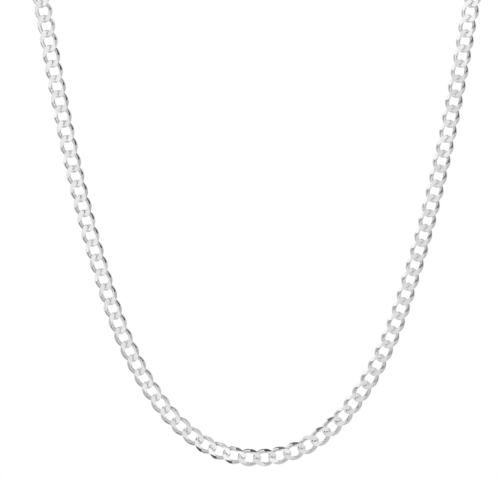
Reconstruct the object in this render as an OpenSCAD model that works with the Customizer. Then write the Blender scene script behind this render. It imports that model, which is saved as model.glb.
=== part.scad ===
// Curb chain necklace: a loop of diamond-cut curb links in polished silver, with a clasp at the nape.
// It is modelled as worn: the front drop hangs in one upright plane and the rest lies over the shoulders.
// X runs across the wearer, Y from front to back and Z upwards, from the middle of the neck opening.

/* [Chain] */
// Width of a link across the chain
link_w = 5; // [4.6:0.1:5.4]
// Least distance from one link to the next along the chain
link_pitch = 4.3; // [4.2:0.1:4.9]
// Diameter of the wire that the links are bent from
wire_d = 1.05; // [0.9:0.05:1.1]
// Thickness that is left between the two diamond-cut faces
cut_t = 1.9; // [1.6:0.05:2.1]
// Distance from the middle line of a link to the start of its sloping side cuts
side_start = 1.65; // [1.5:0.05:2]
// Angle by which the side cuts slope back from the flat face
side_slope = 30; // [15:5:40]
// Angle by which the round ends of a link are twisted out of its flat, one each way
end_twist = 52; // [45:1:58]
// Free space between linked wires where they pull on each other
joint_gap = 0.2; // [0.2:0.02:0.3]

/* [Clasp] */
// Length of the clasp's box between its two end rings
box_l = 18; // [14:0.5:19]
// Width of the box across the chain
box_w = 5; // [4:0.1:6]
// Thickness of the box
box_t = 2.2; // [1.8:0.1:2.6]
// Corner radius of the box, seen from outside
box_corner = 1.5; // [0.8:0.1:1.9]
// Outer diameter of each end ring
ring_d = 4.2; // [3.8:0.1:4.6]
// Wire diameter of the end rings
ring_wire = 0.8; // [0.7:0.05:0.9]

/* [Hidden] */
silver = [0.87, 0.88, 0.89];

// The right half of the route, from the lowest point of the front to the clasp.
// Columns: x, y, z, and the angle by which the chain's flat face has turned from the front to the top.
ROUTE = [
    [0, -25, -128, 0],
    [12, -25, -125.5, 0],
    [22.5, -25, -118, 0],
    [30, -25, -108.5, 0],
    [36, -25, -97.5, 0],
    [44.5, -25, -73.5, 0],
    [51, -25, -49, 0],
    [56, -25, -25, 0],
    [59, -25, -8, 0],
    [61.5, -22, 8.5, 15],
    [59.5, -12.5, 20, 55],
    [52, -0.5, 28, 68],
    [41, 8, 32, 75],
    [27.5, 14, 35.5, 82],
    [12, 15.5, 36.5, 90],
];
START_DIRECTION = [1, 0, 0];
END_DIRECTION = [-1, 0, 0];
ROUTE_STEPS = 12;

// The ring's wire is sunk to its middle in the end of the box.
ring_axis = box_l / 2 + ring_d / 2 - ring_wire / 2;
// Distance from the middle of the clasp to the end of the pitch of the link that it holds
clasp_half = ring_axis + ring_d / 2 - ring_wire - joint_gap / 2;

function unit(v) = v / norm(v);
function xyz(row) = [row[0], row[1], row[2]];
function mirrored(v) = [-v[0], v[1], v[2]];

// The x of the last point follows the clasp, so that the last link of each half always meets its ring.
last_knot = len(ROUTE) - 1;
knots = [
    for (i = [0:last_knot]) i < last_knot ? xyz(ROUTE[i]) : [clasp_half, ROUTE[i][1], ROUTE[i][2]]
];
chords = [for (i = [0:last_knot - 1]) norm(knots[i + 1] - knots[i])];

// Direction of the smooth curve at a knot, from the chords on its two sides
function knot_direction(i) =
    i == 0 ? START_DIRECTION
    : i == last_knot ? END_DIRECTION
    : unit((knots[i] - knots[i - 1]) * chords[i] ^ 2 + (knots[i + 1] - knots[i]) * chords[i - 1] ^ 2);

// Point at share u of the curve between knot i and the next one
function curve_point(i, u) =
    let (a = knot_direction(i) * chords[i], b = knot_direction(i + 1) * chords[i])
    (2 * u ^ 3 - 3 * u ^ 2 + 1) * knots[i] + (u ^ 3 - 2 * u ^ 2 + u) * a
    + (3 * u ^ 2 - 2 * u ^ 3) * knots[i + 1] + (u ^ 3 - u ^ 2) * b;

curve = [
    for (i = [0:last_knot - 1]) for (k = [0:ROUTE_STEPS - 1]) curve_point(i, k / ROUTE_STEPS),
    knots[last_knot]
];
turns = [
    for (i = [0:last_knot - 1]) for (k = [0:ROUTE_STEPS - 1])
        ROUTE[i][3] + (ROUTE[i + 1][3] - ROUTE[i][3]) * k / ROUTE_STEPS,
    ROUTE[last_knot][3]
];
steps = [for (i = [1:len(curve) - 1]) norm(curve[i] - curve[i - 1])];
lengths = [for (i = 0, s = 0; i < len(curve); s = s + (i < len(steps) ? steps[i] : 0), i = i + 1) s];
half_length = lengths[len(lengths) - 1];

function column(values) = [for (i = [0:len(curve) - 1]) [lengths[i], values[i]]];
x_by_length = column([for (p = curve) p[0]]);
y_by_length = column([for (p = curve) p[1]]);
z_by_length = column([for (p = curve) p[2]]);
turn_by_length = column(turns);
function route_point(s) = [lookup(s, x_by_length), lookup(s, y_by_length), lookup(s, z_by_length)];

// A whole number of links fills each half, so the true spacing is the pitch or a little more.
links_per_half = floor(half_length / link_pitch);
spacing = half_length / links_per_half;

// Middle line of a link's wire: half width and half length of the loop
loop_w = (link_w - wire_d) / 2;
loop_l = (spacing + wire_d + joint_gap) / 2;

WIRE_SIDES = 6;
END_STATIONS = 6;
STATIONS = 2 * END_STATIONS;
END_STEP = 180 / END_STATIONS;

// One station at the middle of each side, and the rest spread over the two round ends
function end_station(k) =
    k == 0 ? [loop_w, 0]
    : [loop_w * cos(END_STEP * k), loop_l - loop_w + loop_w * sin(END_STEP * k)];
function loop_station(i) = let (n = (i + STATIONS) % STATIONS)
    n < END_STATIONS ? end_station(n) : -end_station(n - END_STATIONS);
// The twist grows evenly from the middle of the link to its ends, so crossing wires pass each other.
function wire_middle(i) =
    let (p = loop_station(i), a = end_twist * p[1] / loop_l)
    [p[0] * cos(a), p[0] * sin(a), p[1]];
// Half the thickness that the flat cut and the two side cuts leave at a distance x from the middle line
function half_cut(x) = cut_t / 2 - max(0, abs(x) - side_start) * tan(side_slope);
function cut(p) = [p[0], max(-half_cut(p[0]), min(half_cut(p[0]), p[1])), p[2]];
function wire_ring(i) =
    let (
        along = unit(wire_middle(i + 1) - wire_middle(i - 1)),
        outward = unit(cross(along, [0, 1, 0])),
        depth = cross(outward, along)
    )
    [
        for (j = [0:WIRE_SIDES - 1]) let (a = 360 * j / WIRE_SIDES)
            cut(wire_middle(i) + wire_d / 2 * (cos(a) * outward + sin(a) * depth))
    ];

link_points = [for (i = [0:STATIONS - 1]) each wire_ring(i)];
function link_point_index(i, j) = (i % STATIONS) * WIRE_SIDES + j % WIRE_SIDES;
link_faces = [
    for (i = [0:STATIONS - 1]) for (j = [0:WIRE_SIDES - 1])
        let (
            a = link_point_index(i, j),
            b = link_point_index(i, j + 1),
            c = link_point_index(i + 1, j + 1),
            d = link_point_index(i + 1, j)
        )
        each [[a, b, c], [a, c, d]]
];

// The left half mirrors the route but not the link, so every link is twisted the same way.
function route_side(v, side) = side < 0 ? mirrored(v) : v;
// Middle of the link that lies at length s, and its directions across, through and along the chain
function link_place(s, side) =
    let (
        turn = lookup(s, turn_by_length),
        along = unit(route_side(route_point(s + spacing / 2) - route_point(s - spacing / 2), side)),
        back = [0, cos(turn), -sin(turn)],
        through = unit(back - (back * along) * along)
    )
    [route_side(route_point(s), side), cross(through, along), through, along];

module half_chain(side) {
    places = [for (i = [0:links_per_half - 1]) link_place((i + 0.5) * spacing, side)];
    polyhedron(
        points = [for (f = places) for (p = link_points) f[0] + p[0] * f[1] + p[1] * f[2] + p[2] * f[3]],
        faces = [for (n = [0:links_per_half - 1]) for (t = link_faces) t + n * len(link_points) * [1, 1, 1]],
        convexity = 6
    );
}

module chain_left() {
    color(silver) half_chain(-1);
}

module chain_right() {
    color(silver) half_chain(1);
}

// Outline of the box seen from outside, its length along X
CORNER_STEPS = 6;
function box_outline() = [
    for (q = [0:3]) for (k = [0:CORNER_STEPS])
        let (
            a = 90 * q + 90 * k / CORNER_STEPS,
            sx = (q == 0 || q == 3) ? 1 : -1,
            sy = q < 2 ? 1 : -1
        )
        [
            sx * (box_l / 2 - box_corner) + box_corner * cos(a),
            sy * (box_w / 2 - box_corner) + box_corner * sin(a)
        ]
];

module end_ring() {
    rotate([90, 0, 0])
        rotate_extrude($fn = 48)
            translate([(ring_d - ring_wire) / 2, 0])
                circle(d = ring_wire, $fn = 24);
}

// The box lies as flat as the chain beside it, and its rings stand square to the link ends that they hold.
module clasp() {
    nape = ROUTE[last_knot];
    color(silver)
        translate([0, nape[1], nape[2]])
            rotate([90 - nape[3], 0, 0])
                union() {
                    translate([0, 0, -box_t / 2])
                        linear_extrude(box_t)
                            polygon(box_outline());
                    for (side = [-1, 1])
                        translate([side * ring_axis, 0, 0])
                            rotate([-side * end_twist, 0, 0])
                                end_ring();
                }
}

chain_left();
chain_right();
clasp();
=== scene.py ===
"""Dresses the curb chain necklace: diamond-cut links, a box clasp, polished silver and a white studio."""

import math
import random

import bmesh
import bpy
import numpy as np
from bpy.props import FloatProperty, FloatVectorProperty, IntProperty, PointerProperty
from mathutils import Matrix, Vector


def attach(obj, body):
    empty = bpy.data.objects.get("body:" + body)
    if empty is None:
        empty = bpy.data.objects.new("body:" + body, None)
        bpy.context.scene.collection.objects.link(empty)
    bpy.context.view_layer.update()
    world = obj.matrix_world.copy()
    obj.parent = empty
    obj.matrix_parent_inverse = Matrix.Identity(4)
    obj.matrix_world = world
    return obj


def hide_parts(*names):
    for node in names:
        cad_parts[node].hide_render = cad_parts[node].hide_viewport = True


bl_info = {
    "name": "Curb chain necklace",
    "version": (1, 0, 0),
    "blender": (4, 5, 0),
    "location": "View3D > Sidebar > Necklace",
    "description": "Builds the links, the clasp and the studio of a silver curb chain necklace",
    "category": "Add Mesh",
}

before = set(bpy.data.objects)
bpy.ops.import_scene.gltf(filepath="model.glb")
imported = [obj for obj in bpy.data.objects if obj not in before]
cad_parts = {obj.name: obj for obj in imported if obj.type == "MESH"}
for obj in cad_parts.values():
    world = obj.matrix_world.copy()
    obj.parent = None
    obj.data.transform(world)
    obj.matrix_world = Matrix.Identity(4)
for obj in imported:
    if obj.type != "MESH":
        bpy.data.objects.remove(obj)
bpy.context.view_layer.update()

MM = 0.001
# Nodes of the two halves of the chain, and the pieces that replace them
CHAIN_HALVES = {"chain_left": "links_left", "chain_right": "links_right"}
# The upright plane in which the front drop hangs
FRONT_PLANE_Y = -0.025


# Measuring the frame


def corner_points(node):
    """The corner points of a CAD node, each once, and its triangles as indices into them."""
    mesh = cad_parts[node].data
    points = np.empty(len(mesh.vertices) * 3, np.float32)
    mesh.vertices.foreach_get("co", points)
    mesh.calc_loop_triangles()
    triangles = np.empty(len(mesh.loop_triangles) * 3, np.int32)
    mesh.loop_triangles.foreach_get("vertices", triangles)
    corners, index = np.unique(points.reshape(-1, 3), axis=0, return_inverse=True)
    return corners.astype(float), index.ravel()[triangles].reshape(-1, 3)


def separate_solids(corners, triangles):
    """The corners of each separate solid, found by spreading the lowest index over joined triangles."""
    label = np.arange(len(corners))
    while True:
        spread = label.copy()
        np.minimum.at(spread, triangles, label[triangles].min(axis=1)[:, None])
        if np.array_equal(spread, label):
            return [corners[label == name] for name in np.unique(label)]
        label = spread


def link_place(solid):
    """Middle of a link and its axes across, through and along the chain, as a 4 x 3 array."""
    middle = solid.mean(axis=0)
    axes = np.linalg.eigh(np.cov((solid - middle).T))[1]
    across, along = axes[:, 1], axes[:, 2]
    return np.array([middle, across, np.cross(along, across), along])


def links_of(node):
    """The solids and places of a node's links, from the lowest to the highest."""
    solids = separate_solids(*corner_points(node))
    places = [link_place(solid) for solid in solids]
    order = sorted(range(len(places)), key=lambda i: tuple(places[i][0][[2, 0]].round(5)))
    return [solids[i] for i in order], [places[i] for i in order]


def link_size(solid, place):
    """Full width and length of a link along its own axes."""
    local = (solid - place[0]) @ place[1:].T
    width, _, length = local.max(axis=0) - local.min(axis=0)
    return width, length


# Settings


class NECKLACE_PG_links(bpy.types.PropertyGroup):
    wire: FloatProperty(
        name="Wire",
        description="Diameter of the wire that the links are bent from",
        default=1.12 * MM,
        unit="LENGTH",
    )
    swell: FloatProperty(
        name="Swell",
        description="Share by which the rolled wire is thicker along the sides of a link",
        default=0.1,
        min=0.0,
        max=0.3,
    )
    thickness: FloatProperty(
        name="Cut thickness",
        description="Thickness left between the two diamond-cut faces",
        default=1.92 * MM,
        unit="LENGTH",
    )
    twist: FloatProperty(
        name="Twist",
        description="Angle by which a link's round end is turned out of its flat",
        default=math.radians(54.0),
        subtype="ANGLE",
    )
    squareness: FloatProperty(
        name="Squareness",
        description="Shape of the loop, from 2 for an ellipse upwards to a rounded box",
        default=2.5,
        min=1.6,
        max=3.5,
    )
    side_start: FloatProperty(
        name="Side cut start",
        description="Distance from the middle line at which the sloping side cuts begin",
        default=1.62 * MM,
        unit="LENGTH",
    )
    side_slope: FloatProperty(
        name="Side cut slope",
        description="Angle by which the side cuts slope back from the flat face",
        default=math.radians(30.0),
        subtype="ANGLE",
    )
    unevenness: FloatProperty(
        name="Unevenness",
        description="Largest angle by which a single link lies off the even line",
        default=math.radians(2.4),
        subtype="ANGLE",
    )
    stations: IntProperty(
        name="Stations",
        description="Cross-sections round the loop of a link",
        default=64,
        min=24,
        max=72,
    )


class NECKLACE_PG_clasp(bpy.types.PropertyGroup):
    length: FloatProperty(
        name="Length",
        description="Length of the clasp's box between its two end rings",
        default=18 * MM,
        unit="LENGTH",
    )
    width: FloatProperty(
        name="Width",
        description="Width of the box across the chain",
        default=5 * MM,
        unit="LENGTH",
    )
    thickness: FloatProperty(
        name="Thickness",
        description="Thickness of the box",
        default=2.2 * MM,
        unit="LENGTH",
    )
    corner: FloatProperty(
        name="Corner",
        description="Corner radius of the box, seen from outside",
        default=1.5 * MM,
        unit="LENGTH",
    )
    rounding: FloatProperty(
        name="Rounding",
        description="Radius of the long edges of the box",
        default=0.45 * MM,
        unit="LENGTH",
    )
    seam: FloatProperty(
        name="Seam",
        description="Width and depth of the seam round the box",
        default=0.12 * MM,
        unit="LENGTH",
    )
    ring: FloatProperty(
        name="Ring",
        description="Outer diameter of the two end rings",
        default=4.2 * MM,
        unit="LENGTH",
    )
    ring_wire: FloatProperty(
        name="Ring wire",
        description="Wire diameter of the two end rings",
        default=0.8 * MM,
        unit="LENGTH",
    )
    ring_turn: FloatProperty(
        name="Ring turn",
        description="Angle by which each ring is turned square to the link end that it holds",
        default=math.radians(52.0),
        subtype="ANGLE",
    )


class NECKLACE_PG_silver(bpy.types.PropertyGroup):
    colour: FloatVectorProperty(
        name="Silver",
        description="Colour of the clean polished metal",
        default=(0.94, 0.94, 0.94),
        subtype="COLOR",
        min=0.0,
        max=1.0,
    )
    # Painted shade: this grey goes into the base colour where other metal lies near, in the creases between
    # links, and by chance in dull clouds and on dull links
    shade: FloatVectorProperty(
        name="Shade",
        description="Colour of the metal deep between two links",
        default=(0.6, 0.6, 0.6),
        subtype="COLOR",
        min=0.0,
        max=1.0,
    )
    polish: FloatProperty(
        name="Polish",
        description="Roughness of the round wire",
        default=0.05,
        min=0.0,
        max=1.0,
    )
    cut_polish: FloatProperty(
        name="Cut polish",
        description="Roughness of the diamond-cut faces",
        default=0.08,
        min=0.0,
        max=1.0,
    )


class NECKLACE_PG_studio(bpy.types.PropertyGroup):
    camera_distance: FloatProperty(
        name="Camera distance",
        description="Distance from the camera to the plane of the front drop",
        default=0.95,
        unit="LENGTH",
    )
    view_width: FloatProperty(
        name="View width",
        description="Width of the picture in the plane of the front drop",
        default=0.1408,
        unit="LENGTH",
    )
    view_middle: FloatVectorProperty(
        name="View middle",
        description="Across and height of the picture's middle",
        default=(-0.00194, -0.0668),
        size=2,
        unit="LENGTH",
    )
    floor_height: FloatProperty(
        name="Floor height",
        description="Height of the floor under the necklace",
        default=-0.8,
        unit="LENGTH",
    )


# Links

WIRE_SIDES = 22
# Steps in which the length of a loop is measured
LOOP_STEPS = 4000
# How close to a cut a point counts as lying on it, in millimetres
CUT_TOLERANCE = 1e-5
# Share of the unevenness by which a link turns about the axis through its flat faces
FLAT_TURN = 0.5
# Start of the random draws for the unevenness and the tones of the links
DRAW_START = 7
# Step from link to link in the pattern of the polish, in millimetres, so that each has its own marks
PATTERN_STEP = 20.0


def loop_line(turn, half_width, half_length, squareness):
    """Point of the link's middle line in its own flat, for angles round the loop."""
    cosine, sine = np.cos(turn), np.sin(turn)
    power = 2 / squareness
    across = half_width * np.sign(cosine) * np.abs(cosine) ** power
    along = half_length * np.sign(sine) * np.abs(sine) ** power
    return across, along


def even_turns(half_width, half_length, squareness, count):
    """Angles at which the points of the loop lie the same distance apart."""
    turn = np.linspace(0, 2 * np.pi, LOOP_STEPS + 1)
    across, along = loop_line(turn, half_width, half_length, squareness)
    run = np.concatenate([[0], np.cumsum(np.hypot(np.diff(across), np.diff(along)))])
    return np.interp(np.arange(count) / count * run[-1], run, turn)


def round_link(width, length, settings):
    """Points and four-sided faces of a twisted loop of round wire, in its own axes, before it is cut."""
    radius = settings.wire / 2
    half_width, half_length = width / 2 - radius * (1 + settings.swell), length / 2 - radius
    turns = even_turns(half_width, half_length, settings.squareness, settings.stations)
    across, along = loop_line(turns, half_width, half_length, settings.squareness)
    twist = settings.twist * along / half_length
    middle = np.column_stack([across * np.cos(twist), across * np.sin(twist), along])
    heading = np.roll(middle, -1, axis=0) - np.roll(middle, 1, axis=0)
    heading /= np.linalg.norm(heading, axis=1)[:, None]
    out = np.cross(heading, (0.0, 1.0, 0.0))
    out /= np.linalg.norm(out, axis=1)[:, None]
    up = np.cross(out, heading)
    angle = 2 * np.pi * np.arange(WIRE_SIDES) / WIRE_SIDES
    rim = np.cos(angle)[None, :, None] * out[:, None] + np.sin(angle)[None, :, None] * up[:, None]
    radii = radius * (1 + settings.swell * (across / half_width) ** 2)
    points = (middle[:, None] + radii[:, None, None] * rim).reshape(-1, 3)
    faces = []
    for i in range(settings.stations):
        after = (i + 1) % settings.stations
        for j in range(WIRE_SIDES):
            beside = (j + 1) % WIRE_SIDES
            corners = (i, j), (i, beside), (after, beside), (after, j)
            faces.append([station * WIRE_SIDES + side for station, side in corners])
    return points, faces


def diamond_cuts(settings):
    """Each flat cut as a point on it and the direction of the metal that it takes away."""
    half, slope = settings.thickness / 2, settings.side_slope
    cuts = []
    for face in (-1, 1):
        cuts.append(((0, face * half, 0), (0, face, 0)))
        for side in (-1, 1):
            away = (side * math.sin(slope), face * math.cos(slope), 0)
            cuts.append(((side * settings.side_start, face * half, 0), away))
    return cuts


def make_link(width, length, settings):
    """Points, faces and the marks of the cut faces of one link, in its own axes."""
    points, faces = round_link(width, length, settings)
    shape = bmesh.new()
    corners = [shape.verts.new(point) for point in points / MM]
    for face in faces:
        shape.faces.new([corners[i] for i in face]).smooth = True
    for spot, away in diamond_cuts(settings):
        cut = bmesh.ops.bisect_plane(
            shape,
            geom=shape.verts[:] + shape.edges[:] + shape.faces[:],
            dist=CUT_TOLERANCE,
            plane_co=Vector(spot) / MM,
            plane_no=away,
            clear_outer=True,
        )
        rim = [part for part in cut["geom_cut"] if isinstance(part, bmesh.types.BMEdge)]
        for face in bmesh.ops.holes_fill(shape, edges=rim)["faces"]:
            face.smooth = False
    shape.verts.index_update()
    points = np.array([vertex.co[:] for vertex in shape.verts]) * MM
    faces = [[vertex.index for vertex in face.verts] for face in shape.faces]
    marks = np.array([not face.smooth for face in shape.faces])
    shape.free()
    return points, faces, marks


def unevenness_turn(draw, largest):
    """A small turn about all three axes of a link."""
    turn = Matrix.Identity(3)
    for axis, share in (("X", 1.0), ("Y", FLAT_TURN), ("Z", 1.0)):
        turn @= Matrix.Rotation(share * draw.uniform(-largest, largest), 3, axis)
    return np.array(turn)


def build_half(node, name, settings, material, draw):
    """Every link of one half of the chain as one mesh."""
    solids, places = links_of(node)
    width, length = link_size(solids[0], places[0])
    link_points, link_faces, link_marks = make_link(width, length, settings)
    points, faces, local, tones = [], [], [], []
    for number, place in enumerate(places):
        turned = link_points @ unevenness_turn(draw, settings.unevenness).T
        points.append(place[0] + turned @ place[1:])
        faces += [[i + number * len(link_points) for i in face] for face in link_faces]
        local.append(link_points / MM + PATTERN_STEP * number)
        tones.append(np.full(len(link_points), draw.random()))
    mesh = bpy.data.meshes.new(name)
    mesh.from_pydata(np.vstack(points).tolist(), [], faces)
    marks = np.tile(link_marks, len(places))
    mesh.polygons.foreach_set("use_smooth", ~marks)
    store(mesh, "cut_face", "FLOAT", "FACE", marks.astype(np.float32))
    store(mesh, "link_point", "FLOAT_VECTOR", "POINT", np.vstack(local).astype(np.float32).ravel())
    store(mesh, "link_tone", "FLOAT", "POINT", np.concatenate(tones).astype(np.float32))
    mesh.update()
    add_piece(mesh, name, node, material)


def store(mesh, name, kind, domain, values):
    """Keeps values for the material on the mesh's points or faces."""
    attribute = mesh.attributes.new(name, kind, domain)
    attribute.data.foreach_set("vector" if kind == "FLOAT_VECTOR" else "value", values)


def add_piece(mesh, name, node, material):
    """Puts a finished mesh in the scene in place of a CAD node."""
    mesh.materials.append(material)
    piece = bpy.data.objects.new(name, mesh)
    bpy.context.scene.collection.objects.link(piece)
    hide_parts(node)
    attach(piece, "root")


# Clasp

# Steps in the rounding of a long edge and in a corner of the box, and round a ring and its wire
ROUND_STEPS = 5
CORNER_STEPS = 8
RING_STATIONS = 48
RING_SIDES = 16
# Edges of the clasp that turn by more than this stay sharp
SHARP_TURN = math.radians(40)


def clasp_middle():
    """Middle of the clasp in the frame."""
    corners, _ = corner_points("clasp")
    return (corners.min(axis=0) + corners.max(axis=0)) / 2


def rounded_outline(length, width, corner):
    """Rounded rectangle, its length along X, anticlockwise seen from above."""
    outline = []
    for quarter, (side_x, side_y) in enumerate(((1, 1), (-1, 1), (-1, -1), (1, -1))):
        for step in range(CORNER_STEPS + 1):
            a = math.pi / 2 * (quarter + step / CORNER_STEPS)
            x = side_x * (length / 2 - corner) + corner * math.cos(a)
            y = side_y * (width / 2 - corner) + corner * math.sin(a)
            outline.append((x, y))
    return outline


def box_profile(settings):
    """How far the side of the box is drawn in at each height, from the bottom to the top."""
    half, radius, seam = settings.thickness / 2, settings.rounding, settings.seam
    curve = [math.pi / 2 * step / ROUND_STEPS for step in range(ROUND_STEPS + 1)]
    lower = [(radius * (1 - math.sin(a)), -half + radius * (1 - math.cos(a))) for a in curve]
    groove = [(0, -seam / 2), (seam, -seam / 4), (seam, seam / 4), (0, seam / 2)]
    upper = [(inset, -height) for inset, height in reversed(lower)]
    return lower + groove + upper


def clasp_box(settings):
    """Points and faces of the box: stacked outlines between a closed bottom and a closed top."""
    points, faces = [], []
    profile = box_profile(settings)
    for inset, height in profile:
        length, width = settings.length - 2 * inset, settings.width - 2 * inset
        outline = rounded_outline(length, width, settings.corner - inset)
        points += [(x, y, height) for x, y in outline]
    count = len(points) // len(profile)
    top = len(points) - count
    for below in range(0, top, count):
        above = below + count
        for j in range(count):
            beside = (j + 1) % count
            faces.append((below + j, below + beside, above + beside, above + j))
    faces.append(tuple(reversed(range(count))))
    faces.append(tuple(range(top, top + count)))
    return points, faces


def end_ring(side, settings):
    """Points and faces of the ring at one end of the box, turned square to the link end that it holds."""
    diameter, wire = settings.ring, settings.ring_wire
    centre = Vector((side * (settings.length + diameter - wire) / 2, 0, 0))
    turn = Matrix.Rotation(-side * settings.ring_turn, 3, "X")
    points, faces = [], []
    for i in range(RING_STATIONS):
        a = 2 * math.pi * i / RING_STATIONS
        for j in range(RING_SIDES):
            b = 2 * math.pi * j / RING_SIDES
            reach = (diameter - wire) / 2 + wire / 2 * math.cos(b)
            point = Vector((reach * math.cos(a), wire / 2 * math.sin(b), reach * math.sin(a)))
            points.append(centre + turn @ point)
    for i in range(RING_STATIONS):
        after = (i + 1) % RING_STATIONS
        for j in range(RING_SIDES):
            beside = (j + 1) % RING_SIDES
            corners = (i, j), (after, j), (after, beside), (i, beside)
            faces.append(tuple(station * RING_SIDES + place for station, place in corners))
    return points, faces


# Silver

# Soft clouds in the polish, and tool marks with their fineness along each axis and their relief
CLOUDS = {"Scale": 0.9, "Detail": 3.0}
MARKS = {"Scale": 2.0, "Detail": 4.0}
MARK_STRETCH = (14.0, 3.0, 1.2)
MARK_RELIEF = {"Strength": 0.06, "Distance": 0.02 * MM}
# Values of this noise between which the look changes
NOISE_SPAN = {"start": 0.3, "end": 0.7}
# Painted shade between the links: how near other metal has to be, and how open a place is at full shade and
# at none
SHADE_REACH = 0.28 * MM
SHADE_SPAN = {"start": 0.15, "end": 0.75}
# Least share of the clean colour in a cloud, and on the dullest link
CLOUD_CLEAN = 0.965
LINK_CLEAN = 0.96
# Least and most roughness as shares of the one that is set
POLISH_RANGE = (0.8, 1.25)
CUT_POLISH_RANGE = (0.8, 1.2)


class Nodes:
    """Adds shader nodes to a material and joins them."""

    def __init__(self, material):
        self.nodes = material.node_tree.nodes
        self.links = material.node_tree.links
        self.shader = self.nodes["Principled BSDF"]

    def add(self, kind, inputs=(), **options):
        """A new node, its inputs set to values or joined to outputs of other nodes."""
        node = self.nodes.new(kind)
        for name, value in options.items():
            setattr(node, name, value)
        for socket, value in dict(inputs).items():
            if isinstance(value, bpy.types.NodeSocket):
                self.links.new(value, node.inputs[socket])
            else:
                node.inputs[socket].default_value = value
        return node

    def attribute(self, name, output="Fac"):
        """A value or place that is stored on the mesh."""
        return self.add("ShaderNodeAttribute", attribute_name=name).outputs[output]

    def product(self, first, second):
        """Two values multiplied with each other."""
        return self.add("ShaderNodeMath", {0: first, 1: second}, operation="MULTIPLY").outputs[0]

    def span(self, value, low, high, start=0.0, end=1.0):
        """A value that goes from low to high while the given one goes from start to end."""
        inputs = {"Value": value, "From Min": start, "From Max": end, "To Min": low, "To Max": high}
        return self.add("ShaderNodeMapRange", inputs).outputs[0]

    def noise(self, place, pattern):
        """Noise at a place, with the scale and detail of a pattern."""
        return self.add("ShaderNodeTexNoise", {"Vector": place, **pattern}).outputs[0]


def silver_material(name, look, local_point, cut_face=None, tone=None):
    """Polished silver with faint tool marks, painted shade in its hollows and an uneven polish."""
    material = bpy.data.materials.new(name)
    material.use_nodes = True
    made = Nodes(material)
    shader = made.shader
    shader.inputs["Metallic"].default_value = 1.0
    place = local_point(made)
    clouds = made.noise(place, CLOUDS)
    stretch = made.add("ShaderNodeMapping", {"Vector": place, "Scale": MARK_STRETCH}).outputs[0]
    marks = made.noise(stretch, MARKS)

    # Painted shade: the base colour turns towards the shade grey where other metal lies near, as in the
    # creases between links
    occlusion = made.add("ShaderNodeAmbientOcclusion", {"Distance": SHADE_REACH}, samples=8).outputs["AO"]
    open_share = made.span(occlusion, 0.0, 1.0, **SHADE_SPAN)
    clean = made.span(clouds, CLOUD_CLEAN, 1.0, **NOISE_SPAN)
    if tone:
        clean = made.product(clean, made.span(made.attribute(tone), LINK_CLEAN, 1.0))
    # The shade grey comes in as painted shade in the hollows, and by chance in dull clouds and on dull links
    mixed = {0: made.product(open_share, clean), 6: (*look.shade, 1.0), 7: (*look.colour, 1.0)}
    colour = made.add("ShaderNodeMix", mixed, data_type="RGBA").outputs[2]
    made.links.new(colour, shader.inputs["Base Color"])

    least, most = POLISH_RANGE
    rough = made.span(clouds, look.polish * least, look.polish * most, **NOISE_SPAN)
    if cut_face:
        least, most = CUT_POLISH_RANGE
        cut_rough = made.span(marks, look.cut_polish * least, look.cut_polish * most, **NOISE_SPAN)
        mixed = {0: made.attribute(cut_face), 2: rough, 3: cut_rough}
        rough = made.add("ShaderNodeMix", mixed, data_type="FLOAT").outputs[0]
    made.links.new(rough, shader.inputs["Roughness"])
    bump = made.add("ShaderNodeBump", {"Height": marks, **MARK_RELIEF})
    made.links.new(bump.outputs[0], shader.inputs["Normal"])
    return material


def link_point(made):
    """Place on the link in its own axes, in millimetres."""
    return made.attribute("link_point", "Vector")


def object_point(made):
    """Place on the object, in millimetres."""
    source = made.add("ShaderNodeTexCoord").outputs["Object"]
    return made.add("ShaderNodeMapping", {"Vector": source, "Scale": (1 / MM,) * 3}).outputs[0]


# Studio

# Reflector cards round the front drop, on spheres round its middle. Columns: name, nearest and furthest
# angle from the line to the camera, first and last direction seen by the camera (0 right, 90 up), all in
# degrees, and the tone from black to white. A card further down the table stands in front of those above it.
CARDS = [
    ("front_screen", 12, 44, 0, 360, 0.94),
    ("side_screen", 44, 116, 0, 360, 0.62),
    ("back_screen", 116, 179.5, 0, 360, 0.63),
    ("card_left", 20, 101, 106, 195, 0.84),
    ("card_low_front", 12.5, 62, 141, 307, 1.0),
    ("card_above", 54, 87, 56, 119, 0.06),
    ("card_above_front", 44, 55, 66, 137, 0.18),
    ("card_above_right", 72, 100, -1, 67, 0.12),
    ("card_below", 60, 88, 238, 263, 0.1),
    ("card_below_left", 50, 90, 205, 238, 0.5),
    ("card_right", 53, 60, -51, 31, 0.48),
    ("card_right_side", 60, 87, -64, 25, 0.56),
    ("card_below_back", 75, 94, 260, 294, 0.0),
    ("card_above_back", 89, 170, 73, 176, 1.0),
    ("card_left_back", 91, 141, 109, 147, 0.0),
]
# Distance from the middle to the first card, and by how much each card lies nearer than the one above it
CARD_RADIUS = 0.7
CARD_GAP = 0.006
# Size of a card's faces, in degrees away from the line to the camera and round it
CARD_ROW = 4
CARD_COLUMN = 6
# The screen round the camera: its angles, as in the table, and its tones on the left and on the right, which
# it takes on at this distance from its middle
CAMERA_SCREEN = (0.5, 12, 0, 360)
SCREEN_TONES = (0.89, 0.72)
SCREEN_REACH = 0.12
FLOOR_GREY = (0.93, 0.93, 0.93, 1.0)
FLOOR_ROUGHNESS = 0.9


def glow_material(name, left_tone, right_tone):
    """A surface that gives out grey light, even or from one tone on the left to another on the right."""
    material = bpy.data.materials.new(name)
    material.use_nodes = True
    made = Nodes(material)
    made.nodes.remove(made.shader)
    if left_tone == right_tone:
        colour = (left_tone, left_tone, left_tone, 1.0)
    else:
        place = made.add("ShaderNodeTexCoord").outputs["Object"]
        across = made.add("ShaderNodeSeparateXYZ", {0: place}).outputs["X"]
        colour = made.span(across, left_tone, right_tone, start=-SCREEN_REACH, end=SCREEN_REACH)
    glow = made.add("ShaderNodeEmission", {"Color": colour})
    made.links.new(glow.outputs[0], made.nodes["Material Output"].inputs["Surface"])
    return material


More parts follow.
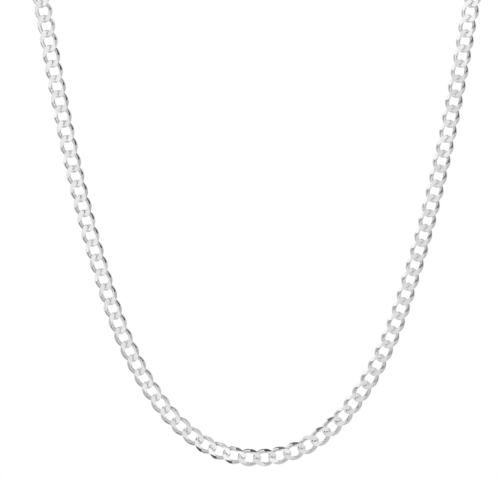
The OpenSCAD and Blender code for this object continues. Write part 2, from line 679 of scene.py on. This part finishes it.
def add_card(name, radius, near, far, first, last, tones, middle):
    """A curved card on a sphere round the necklace, which shows only in reflections."""
    rows = max(1, round((far - near) / CARD_ROW))
    columns = max(1, round((last - first) / CARD_COLUMN))
    points, faces = [], []
    for i in range(rows + 1):
        facing = math.radians(near + (far - near) * i / rows)
        for j in range(columns + 1):
            turn = math.radians(first + (last - first) * j / columns)
            side = radius * math.sin(facing)
            points.append((side * math.cos(turn), -radius * math.cos(facing), side * math.sin(turn)))
    for i in range(rows):
        for j in range(columns):
            corner = i * (columns + 1) + j
            faces.append((corner, corner + 1, corner + columns + 2, corner + columns + 1))
    mesh = bpy.data.meshes.new(name)
    mesh.from_pydata(points, [], faces)
    mesh.materials.append(glow_material(name, *tones))
    card = bpy.data.objects.new(name, mesh)
    card.location = middle
    bpy.context.scene.collection.objects.link(card)
    card.visible_camera = card.visible_diffuse = card.visible_shadow = False


def add_floor(height):
    """A plain pale floor whose far edge lies below the picture."""
    mesh = bpy.data.meshes.new("floor")
    half_width, front, back = 6.0, -6.0, 8.0
    corners = [(-half_width, front), (half_width, front), (half_width, back), (-half_width, back)]
    mesh.from_pydata([(x, y, height) for x, y in corners], [], [(0, 1, 2, 3)])
    material = bpy.data.materials.new("floor_paint")
    material.use_nodes = True
    made = Nodes(material)
    made.shader.inputs["Base Color"].default_value = FLOOR_GREY
    made.shader.inputs["Roughness"].default_value = FLOOR_ROUGHNESS
    mesh.materials.append(material)
    floor = bpy.data.objects.new("floor", mesh)
    bpy.context.scene.collection.objects.link(floor)


def add_world():
    """White surroundings, which light the scene softly from all sides."""
    world = bpy.data.worlds.new("white_studio")
    world.use_nodes = True
    world.node_tree.nodes["Background"].inputs["Color"].default_value = (1.0, 1.0, 1.0, 1.0)
    bpy.context.scene.world = world


def add_camera(settings):
    """Looks straight at the front drop through a long lens."""
    data = bpy.data.cameras.new("camera")
    data.sensor_width = 36.0
    data.lens = data.sensor_width * settings.camera_distance / settings.view_width
    data.clip_end = 20.0
    camera = bpy.data.objects.new("camera", data)
    across, height = settings.view_middle
    camera.location = (across, FRONT_PLANE_Y - settings.camera_distance, height)
    camera.rotation_euler = (math.radians(90), 0, 0)
    bpy.context.scene.collection.objects.link(camera)
    bpy.context.scene.camera = camera


# Operators


class NECKLACE_OT_links(bpy.types.Operator):
    """Replace both halves of the chain with finely shaped links"""

    bl_idname = "necklace.links"
    bl_label = "Build the links"

    def execute(self, context):
        look = context.scene.necklace_silver
        material = silver_material("chain_silver", look, link_point, "cut_face", "link_tone")
        draw = random.Random(DRAW_START)
        for node, name in CHAIN_HALVES.items():
            build_half(node, name, context.scene.necklace_links, material, draw)
        return {"FINISHED"}


class NECKLACE_OT_clasp(bpy.types.Operator):
    """Replace the clasp with a rounded box between two round rings"""

    bl_idname = "necklace.clasp"
    bl_label = "Build the clasp"

    def execute(self, context):
        settings = context.scene.necklace_clasp
        middle = clasp_middle()
        parts = [clasp_box(settings), end_ring(-1, settings), end_ring(1, settings)]
        points, faces = [], []
        for part_points, part_faces in parts:
            faces += [tuple(i + len(points) for i in face) for face in part_faces]
            points += [tuple(middle + point) for point in part_points]
        mesh = bpy.data.meshes.new("box_clasp")
        mesh.from_pydata(points, [], faces)
        mesh.shade_smooth()
        mesh.set_sharp_from_angle(angle=SHARP_TURN)
        material = silver_material("clasp_silver", context.scene.necklace_silver, object_point)
        add_piece(mesh, "box_clasp", "clasp", material)
        return {"FINISHED"}


class NECKLACE_OT_studio(bpy.types.Operator):
    """Set up the floor, the soft light, the reflector cards and the camera"""

    bl_idname = "necklace.studio"
    bl_label = "Set up the studio"

    def execute(self, context):
        settings = context.scene.necklace_studio
        context.scene.view_settings.view_transform = "Standard"
        across, height = settings.view_middle
        middle = Vector((across, FRONT_PLANE_Y, height))
        add_floor(settings.floor_height)
        add_world()
        add_card("camera_screen", CARD_RADIUS, *CAMERA_SCREEN, SCREEN_TONES, middle)
        for number, (name, *reach, tone) in enumerate(CARDS):
            add_card(name, CARD_RADIUS - number * CARD_GAP, *reach, (tone, tone), middle)
        add_camera(settings)
        return {"FINISHED"}


class NECKLACE_PT_panel(bpy.types.Panel):
    bl_idname = "NECKLACE_PT_panel"
    bl_label = "Curb chain necklace"
    bl_space_type = "VIEW_3D"
    bl_region_type = "UI"
    bl_category = "Necklace"

    def draw(self, context):
        for operator, settings in STEPS:
            box = self.layout.box()
            for group in settings:
                source = getattr(context.scene, group)
                for name in source.bl_rna.properties.keys():
                    if name not in {"rna_type", "name"}:
                        box.prop(source, name)
            box.operator(operator)


GROUPS = {
    "necklace_links": NECKLACE_PG_links,
    "necklace_clasp": NECKLACE_PG_clasp,
    "necklace_silver": NECKLACE_PG_silver,
    "necklace_studio": NECKLACE_PG_studio,
}
STEPS = [
    ("necklace.links", ["necklace_links", "necklace_silver"]),
    ("necklace.clasp", ["necklace_clasp"]),
    ("necklace.studio", ["necklace_studio"]),
]
CLASSES = [*GROUPS.values(), NECKLACE_OT_links, NECKLACE_OT_clasp, NECKLACE_OT_studio, NECKLACE_PT_panel]


def register():
    for cls in CLASSES:
        bpy.utils.register_class(cls)
    for name, group in GROUPS.items():
        setattr(bpy.types.Scene, name, PointerProperty(type=group))


def unregister():
    for name in GROUPS:
        delattr(bpy.types.Scene, name)
    for cls in reversed(CLASSES):
        bpy.utils.unregister_class(cls)


def main():
    register()
    bpy.ops.necklace.links()
    bpy.ops.necklace.clasp()
    bpy.ops.necklace.studio()


if __name__ == "__main__":
    main()
